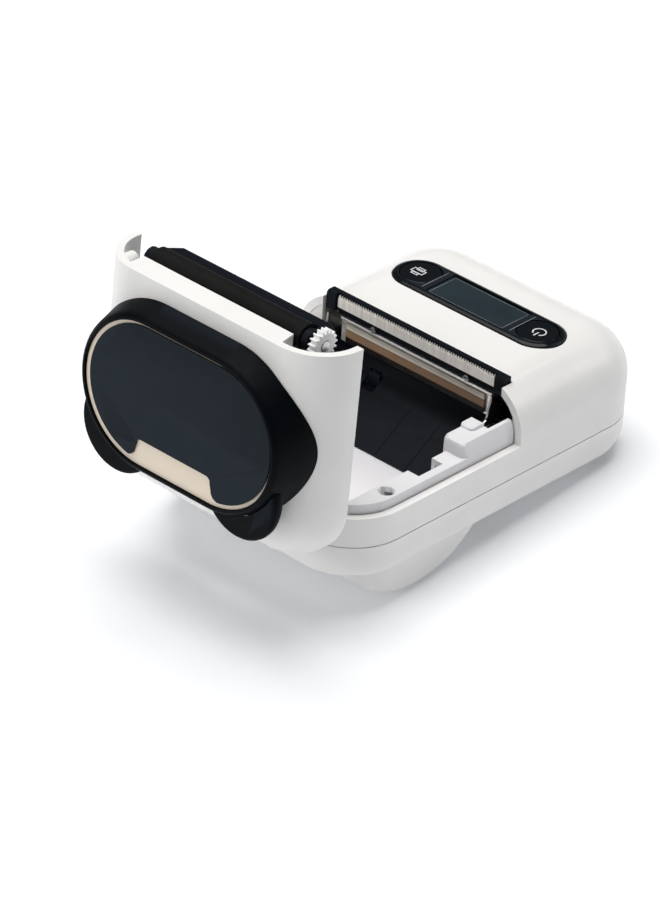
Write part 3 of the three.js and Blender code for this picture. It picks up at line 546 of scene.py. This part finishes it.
def guide_wall():
    """The black wall behind the roll, with two fine guide ribs along it."""
    along = Vector((14.7, 9.65)).normalized()
    off = Vector((-along.y, along.x))
    low, high = Vector((-8.4, 4.21)), Vector((5.6, 13.4))
    for k, x in enumerate(RIB_AT):
        pts = [low + off * RIB_PROUD, high + off * RIB_PROUD, high - off * 0.3, low - off * 0.3]
        rib = extrude([tuple(p) for p in pts], x, x + RIB_WIDE, "X")
        piece(rib, f"guide_rib_{k + 1}", "base", BLACK, (), 0.05)
    dress("guide_wall", BLACK, 0.15)
    dress("paper_sensor", GLOSS, 0.1)


# ---- lid ---------------------------------------------------------------------------
def lid_shell():
    """The lid's skin with the dome's window, a stiffening rib at the roller, and the two hinge arms."""
    end = SPLIT_Y - GAP
    body = meet(envelope(0, RIM_Z, TOP_Z), box(-50, 50, -70, end, RIM_Z + 0.2, 60))
    window = extrude(stadium(0, DOME_Y, 33.2, 20.6), 20, 50)
    body = cut(body, envelope(WALL, RIM_Z - 2, TOP_Z - WALL), window)
    rib = [(-29, 33), (-28.9, 26.7), (23.6, 26.7), (24.7, 31.9), (24.7, 33)]
    body = add(body, extrude(rib, end - 3.6, end, "Y"))
    for s in (-1, 1):
        arm = [(-58.3, HINGE[2]), (-58.3, 20.8), (-57.2, 24), (-54.4, 27), (-53.9, 24), (-53.9, HINGE[2])]
        x0, x1 = ARM_X if s > 0 else (-ARM_X[1], -ARM_X[0])
        hook = add(extrude(arm, x0, x1, "X"), rod_x(*HINGE[1:], KNUCKLE_R, x0, x1))
        body = add(body, cut(hook, rod_x(*HINGE[1:], PIN_HOLE_R, x0 - 1, x1 + 1)))
    body = add(body, meet(rod_z(-33.2, 2.3, 2.2, 26, 32), envelope(1, 20, TOP_Z - 1)))
    piece(body, "lid_case", "lid", WHITE, ["lid_shell"], 0.3)


def dome_solid(off, n=48):
    """The oval dome as rings of (height, radius), grown outwards by off."""
    levels = [(24, 25.2), (33.85, 24), (38.6, 22.62), (40.2, 22.15), (40.8, 21.92), (41.25, 21.6),
              (41.6, 21.25), (41.8, 20.95), (DOME_TOP, 20.7)]
    return loft([(z, stadium(0, DOME_Y, DOME_BASE + r + off, r + off, n)) for z, r in levels])


def dome_cover():
    """The hollow black dome that makes room for the roll, and its two feet."""
    inside = loft([(z, stadium(0, DOME_Y, DOME_BASE + r, r, 30))
                   for z, r in ((20, 21.2), (36, 20.6), (38.6, 19.2))])
    pocket = extrude(stadium(0, DOME_Y, DOME_BASE + 20.35, 20.35, 48), 40.4, 50)
    body = cut(dome_solid(0), envelope(-0.15, 10, TOP_Z + 0.15), inside, pocket)
    piece(body, "dome", "lid", SOFT_BLACK, ["dome_cover"], 0.1, 40)
    for name, side in (("L", -1), ("R", 1)):
        foot_lobe(name, side)


def foot_lobe(name, side):
    """A low half-round foot beside the dome, from rings of (height, centre y, radius)."""
    levels = [(34.3, -32.6, 8.4), (35.3, -34.6, 10.2), (36.2, -36, 11.6), (37.0, -36.9, 12.3),
              (37.8, -37.35, 12.65), (38.7, -37.5, 12.7), (39.2, -37.5, 12.6), (39.55, -37.5, 12.35),
              (39.78, -37.5, 11.95), (39.85, -37.5, 11.6)]
    lobe = loft([(z, circle(side * LOBE_X, y, r, 96)) for z, y, r in levels])
    lobe = cut(lobe, dome_solid(0.25), envelope(-0.15, 10, TOP_Z + 0.15))
    half = box(6, 50, -60, 0, 20, 50) if side > 0 else box(-50, -6, -60, 0, 20, 50)
    lobe = meet(lobe, half)
    piece(lobe, f"lobe_{name}", "lid", SOFT_BLACK, [f"foot_lobe_{name}"], 0.2, 40)


def inlay():
    """The champagne ring in the dome's top, and the slate plate with its tab left open."""
    base = extrude(stadium(0, DOME_Y, DOME_BASE + 20.2, 20.2, 48), 40.55, 41.05)
    piece(base, "inlay_ring", "lid", BEIGE, ["inlay_base"], 0.05)
    low, high = DOME_Y - 20.3, DOME_Y - 12.5
    side = [(17.2, low), (16.0, low + 1.9)] + arc(16.4, low + 4.6, 2.8, -120, -175, 6)[1:]
    side += [(13.1, high - 1.7)] + arc(11.6, high - 1.5, 1.5, 0, 90, 6)
    tab = side + [(-x, y) for x, y in reversed(side)]
    plate = extrude(stadium(0.75, DOME_Y + 0.55, DOME_BASE + 19.15, 19.15, 48), 41.15, 41.65)
    plate = cut(plate, extrude(tab, 40, 43))
    piece(plate, "inlay_face", "lid", SLATE, ["inlay_plate"], 0.1)


def platen():
    """The roller on its shaft, with the gear and the cradle that carries it."""
    bore = rod_x(PLATEN_Y, PLATEN_Z, SHAFT_R + 0.15, -28, 26)
    roller = cut(rod_x(PLATEN_Y, PLATEN_Z, PLATEN_R, -27.4, 24.8, 96), bore)
    piece(roller, "platen_sleeve", "platen", RUBBER, ["platen_rubber"], 0.2)
    shaft = rod_x(PLATEN_Y, PLATEN_Z, SHAFT_R, -31, 31)
    piece(shaft, "platen_axle", "platen", STEEL, ["platen_shaft"], 0.2)
    dress("platen_gear", NYLON, 0.08)
    dress("platen_cradle", BLACK, 0.2)


# ---- panel ----------------------------------------------------------------------------
def button_outline(s, off, n=48):
    """A disc with its inner side cut flat, grown outwards by off."""
    c, r, flat = PANEL_HALF - PANEL_R, BUTTON_R + off, BUTTON_FLAT - off
    lim = math.degrees(math.acos(max(-1, (flat - c) / r)))
    pts = arc(c, PANEL_Y, r, -lim, lim, n)
    return pts if s > 0 else [(-x, y) for x, y in reversed(pts)]


def bezel():
    """The gloss panel frame with its rolled rim, and the display lens."""
    levels = [(31.4, 0.1), (34.25, 0.1), (34.45, 0.14), (34.62, 0.3), (34.9, 1.0), (PANEL_TOP, 1.2)]
    body = loft([(z, stadium(0, PANEL_Y, PANEL_HALF - d, PANEL_R - d, 40)) for z, d in levels])
    window = extrude(round_rect(14, PANEL_Y - 6.1, PANEL_Y + 6.1, 0.6, 4), 30, 40)
    holes = [extrude(button_outline(s, 0.25), 30, 40) for s in (1, -1)]
    body = cut(body, window, *holes)
    piece(body, "panel_frame", "base", GLOSS, ["panel_bezel"], 0.1)
    outline = round_rect(LENS_HALF_X, PANEL_Y - LENS_HALF_Y, PANEL_Y + LENS_HALF_Y, 0.5, 4)
    glass = extrude(outline, 32.3, LENS_TOP)
    piece(glass, "display_lens", "base", LENS, ["display_window"], 0.1)
    panel_lines()


def panel_lines():
    """The thin moulded lines that part the display from the buttons."""
    for s in (-1, 1):
        side = "R" if s > 0 else "L"
        for k, (x, reach, thick, z) in enumerate(PANEL_LINES):
            x0, x1 = sorted((s * x, s * (x + thick)))
            strip = box(x0, x1, PANEL_Y - reach, PANEL_Y + reach, z - 0.1, z + 0.03)
            piece(strip, f"panel_line_{k + 1}_{side}", "base", LINE, (), 0)
    for k, y in enumerate((-5.5, 5.3)):
        strip = box(-12.9, 12.9, PANEL_Y + y, PANEL_Y + y + 0.16, LENS_TOP - 0.1, LENS_TOP + 0.03)
        piece(strip, f"window_line_{k + 1}", "base", LINE, (), 0)


def buttons():
    """Two rounded keys with generic icons: power on the right, paper feed on the left."""
    for name, s in (("power", 1), ("feed", -1)):
        outline = button_outline(s, 0)
        rings = []
        for z, k in ((32.6, 1), (34.55, 1), (34.78, 0.985), (34.9, 0.96), (PANEL_TOP, 0.92)):
            rings.append((z, [(s * BUTTON_X + (x - s * BUTTON_X) * k, PANEL_Y + (y - PANEL_Y) * k)
                              for x, y in outline]))
        cap = add(loft(rings), rod_z(s * 21, PANEL_Y, 1.8, 27.3, 33))
        piece(cap, f"{name}_key", f"{name}_button", GLOSS, [f"button_{name}"], 0.05)
    ring = arc(21.6, PANEL_Y, 2, 302, 598, 48) + arc(21.6, PANEL_Y, 1.6, 598, 302, 48)
    mark(extrude(ring, *MARK_Z), "power_icon_ring", "power_button")
    mark(box(21.4, 21.8, PANEL_Y - 2.5, PANEL_Y - 0.3, *MARK_Z), "power_icon_bar", "power_button")
    x, y = -21.8, PANEL_Y
    mark(outline_box(x - 2.1, x + 2.1, y - 1.1, y + 1.1, 0.34), "feed_icon_body", "feed_button")
    mark(outline_box(x - 1.2, x + 1.2, y - 2.1, y - 1.0, 0.3), "feed_icon_sheet", "feed_button")
    mark(outline_box(x - 1.2, x + 1.2, y + 0.3, y + 1.9, 0.3), "feed_icon_tray", "feed_button")


def outline_box(x0, x1, y0, y1, t):
    return cut(box(x0, x1, y0, y1, *MARK_Z), box(x0 + t, x1 - t, y0 + t, y1 - t, 30, 40))


def mark(obj, name, body):
    piece(obj, name, body, MARK, (), 0)


# ---- print mechanism ---------------------------------------------------------------------
def tear_blade():
    """A thin steel strip with a saw edge along its top."""
    step = 2 * TEAR_HALF / TEAR_TEETH
    pts = [(-TEAR_HALF, TEAR_LOW), (TEAR_HALF, TEAR_LOW)]
    for i in range(TEAR_TEETH):
        pts += [(TEAR_HALF - i * step, TEAR_ROOT), (TEAR_HALF - (i + 0.5) * step, TEAR_TIP)]
    pts.append((-TEAR_HALF, TEAR_ROOT))
    piece(extrude(pts, TEAR_Y, TEAR_Y + 0.5, "Y"), "blade", "base", BLADE, ["tear_blade"], 0.04)


def mechanism():
    """The blade, and the CAD nodes that keep their own shape and get a material and soft edges."""
    tear_blade()
    dress("blade_holder", BLACK, 0.25)
    for side in "LR":
        dress(f"holder_screw_{side}", SCREW, 0.08)
        dress(f"head_spring_{side}", STEEL, 0.02, 60)
        dress(f"hinge_pin_{side}", STEEL, 0.15)
        dress(f"belly_pad_{side}", RUBBER, 0.2)
        dress(f"rear_pad_{side}", RUBBER, 0.3)
    dress("head_bracket", STEEL, 0.08)
    dress("head_heatsink", ALU, 0.15)
    dress("head_ceramic", CERAMIC, 0.06)
    for material, nodes in INNER_NODES:
        for node in nodes.split():
            dress(node, material, 0.08)
    for i in range(4):
        dress(f"case_screw_{i + 1}", STEEL, 0.08)


# ---- stage -----------------------------------------------------------------------------------
# Each lamp's name, place in metres, size, power and colour.
LAMPS = (("key", (-0.17, 0.07, 1.2), 1.2, 15.8, (1, 0.985, 0.965)),
         ("front", (-0.52, -1.05, 0.5), 0.7, 4.5, (1, 0.99, 0.98)),
         ("rim", (0.7, 0.9, 0.6), 0.5, 1.6, (1, 1, 1)))
FLOOR_HALF, SKY_COLOUR, SKY_STRENGTH = 3, (0.88, 0.94, 1, 1), 0.15


def stage():
    """A plain pale floor, a dim even sky and three soft lamps."""
    h = FLOOR_HALF
    floor = solid([(-h, -h, 0), (h, -h, 0), (h, h, 0), (-h, h, 0)], [[0, 1, 2, 3]])
    floor.name = "floor"
    m = Nodes("floor_paper")
    tone = m.mix(m.span(m.noise(3, 2), 0, 1), (0.90, 0.91, 0.93), (0.92, 0.93, 0.95))
    m.link(tone, m.shader.inputs["Base Color"])
    m.shader.inputs["Roughness"].default_value = 0.9
    m.shader.inputs["Specular IOR Level"].default_value = 0.1
    m.shader.inputs["Emission Color"].default_value = (0.93, 0.96, 1, 1)
    m.shader.inputs["Emission Strength"].default_value = 0.1
    m.bump(m.noise(900, 3), 0.05, 0.0001)
    floor.data.materials.append(m.mat)
    world = bpy.data.worlds.new("studio")
    world.use_nodes = True
    sky = world.node_tree.nodes["Background"]
    sky.inputs["Color"].default_value = SKY_COLOUR
    sky.inputs["Strength"].default_value = SKY_STRENGTH
    bpy.context.scene.world = world
    bpy.context.scene.view_settings.view_transform = "Standard"
    for values in LAMPS:
        lamp(*values)


def lamp(name, place, size, power, colour):
    """A round soft lamp that faces the printer."""
    data = bpy.data.lights.new(name, "AREA")
    data.shape, data.size, data.energy, data.color = "DISK", size, power, colour
    obj = bpy.data.objects.new(name, data)
    aim = Vector((0, 0, 0.03)) - Vector(place)
    obj.matrix_world = Matrix.Translation(Vector(place)) @ aim.to_track_quat("-Z", "Y").to_matrix().to_4x4()
    bpy.context.scene.collection.objects.link(obj)


make_camera()
lower_shell()
upper_shell()
paper_bay()
guide_wall()
lid_shell()
dome_cover()
inlay()
platen()
bezel()
buttons()
mechanism()
stage()
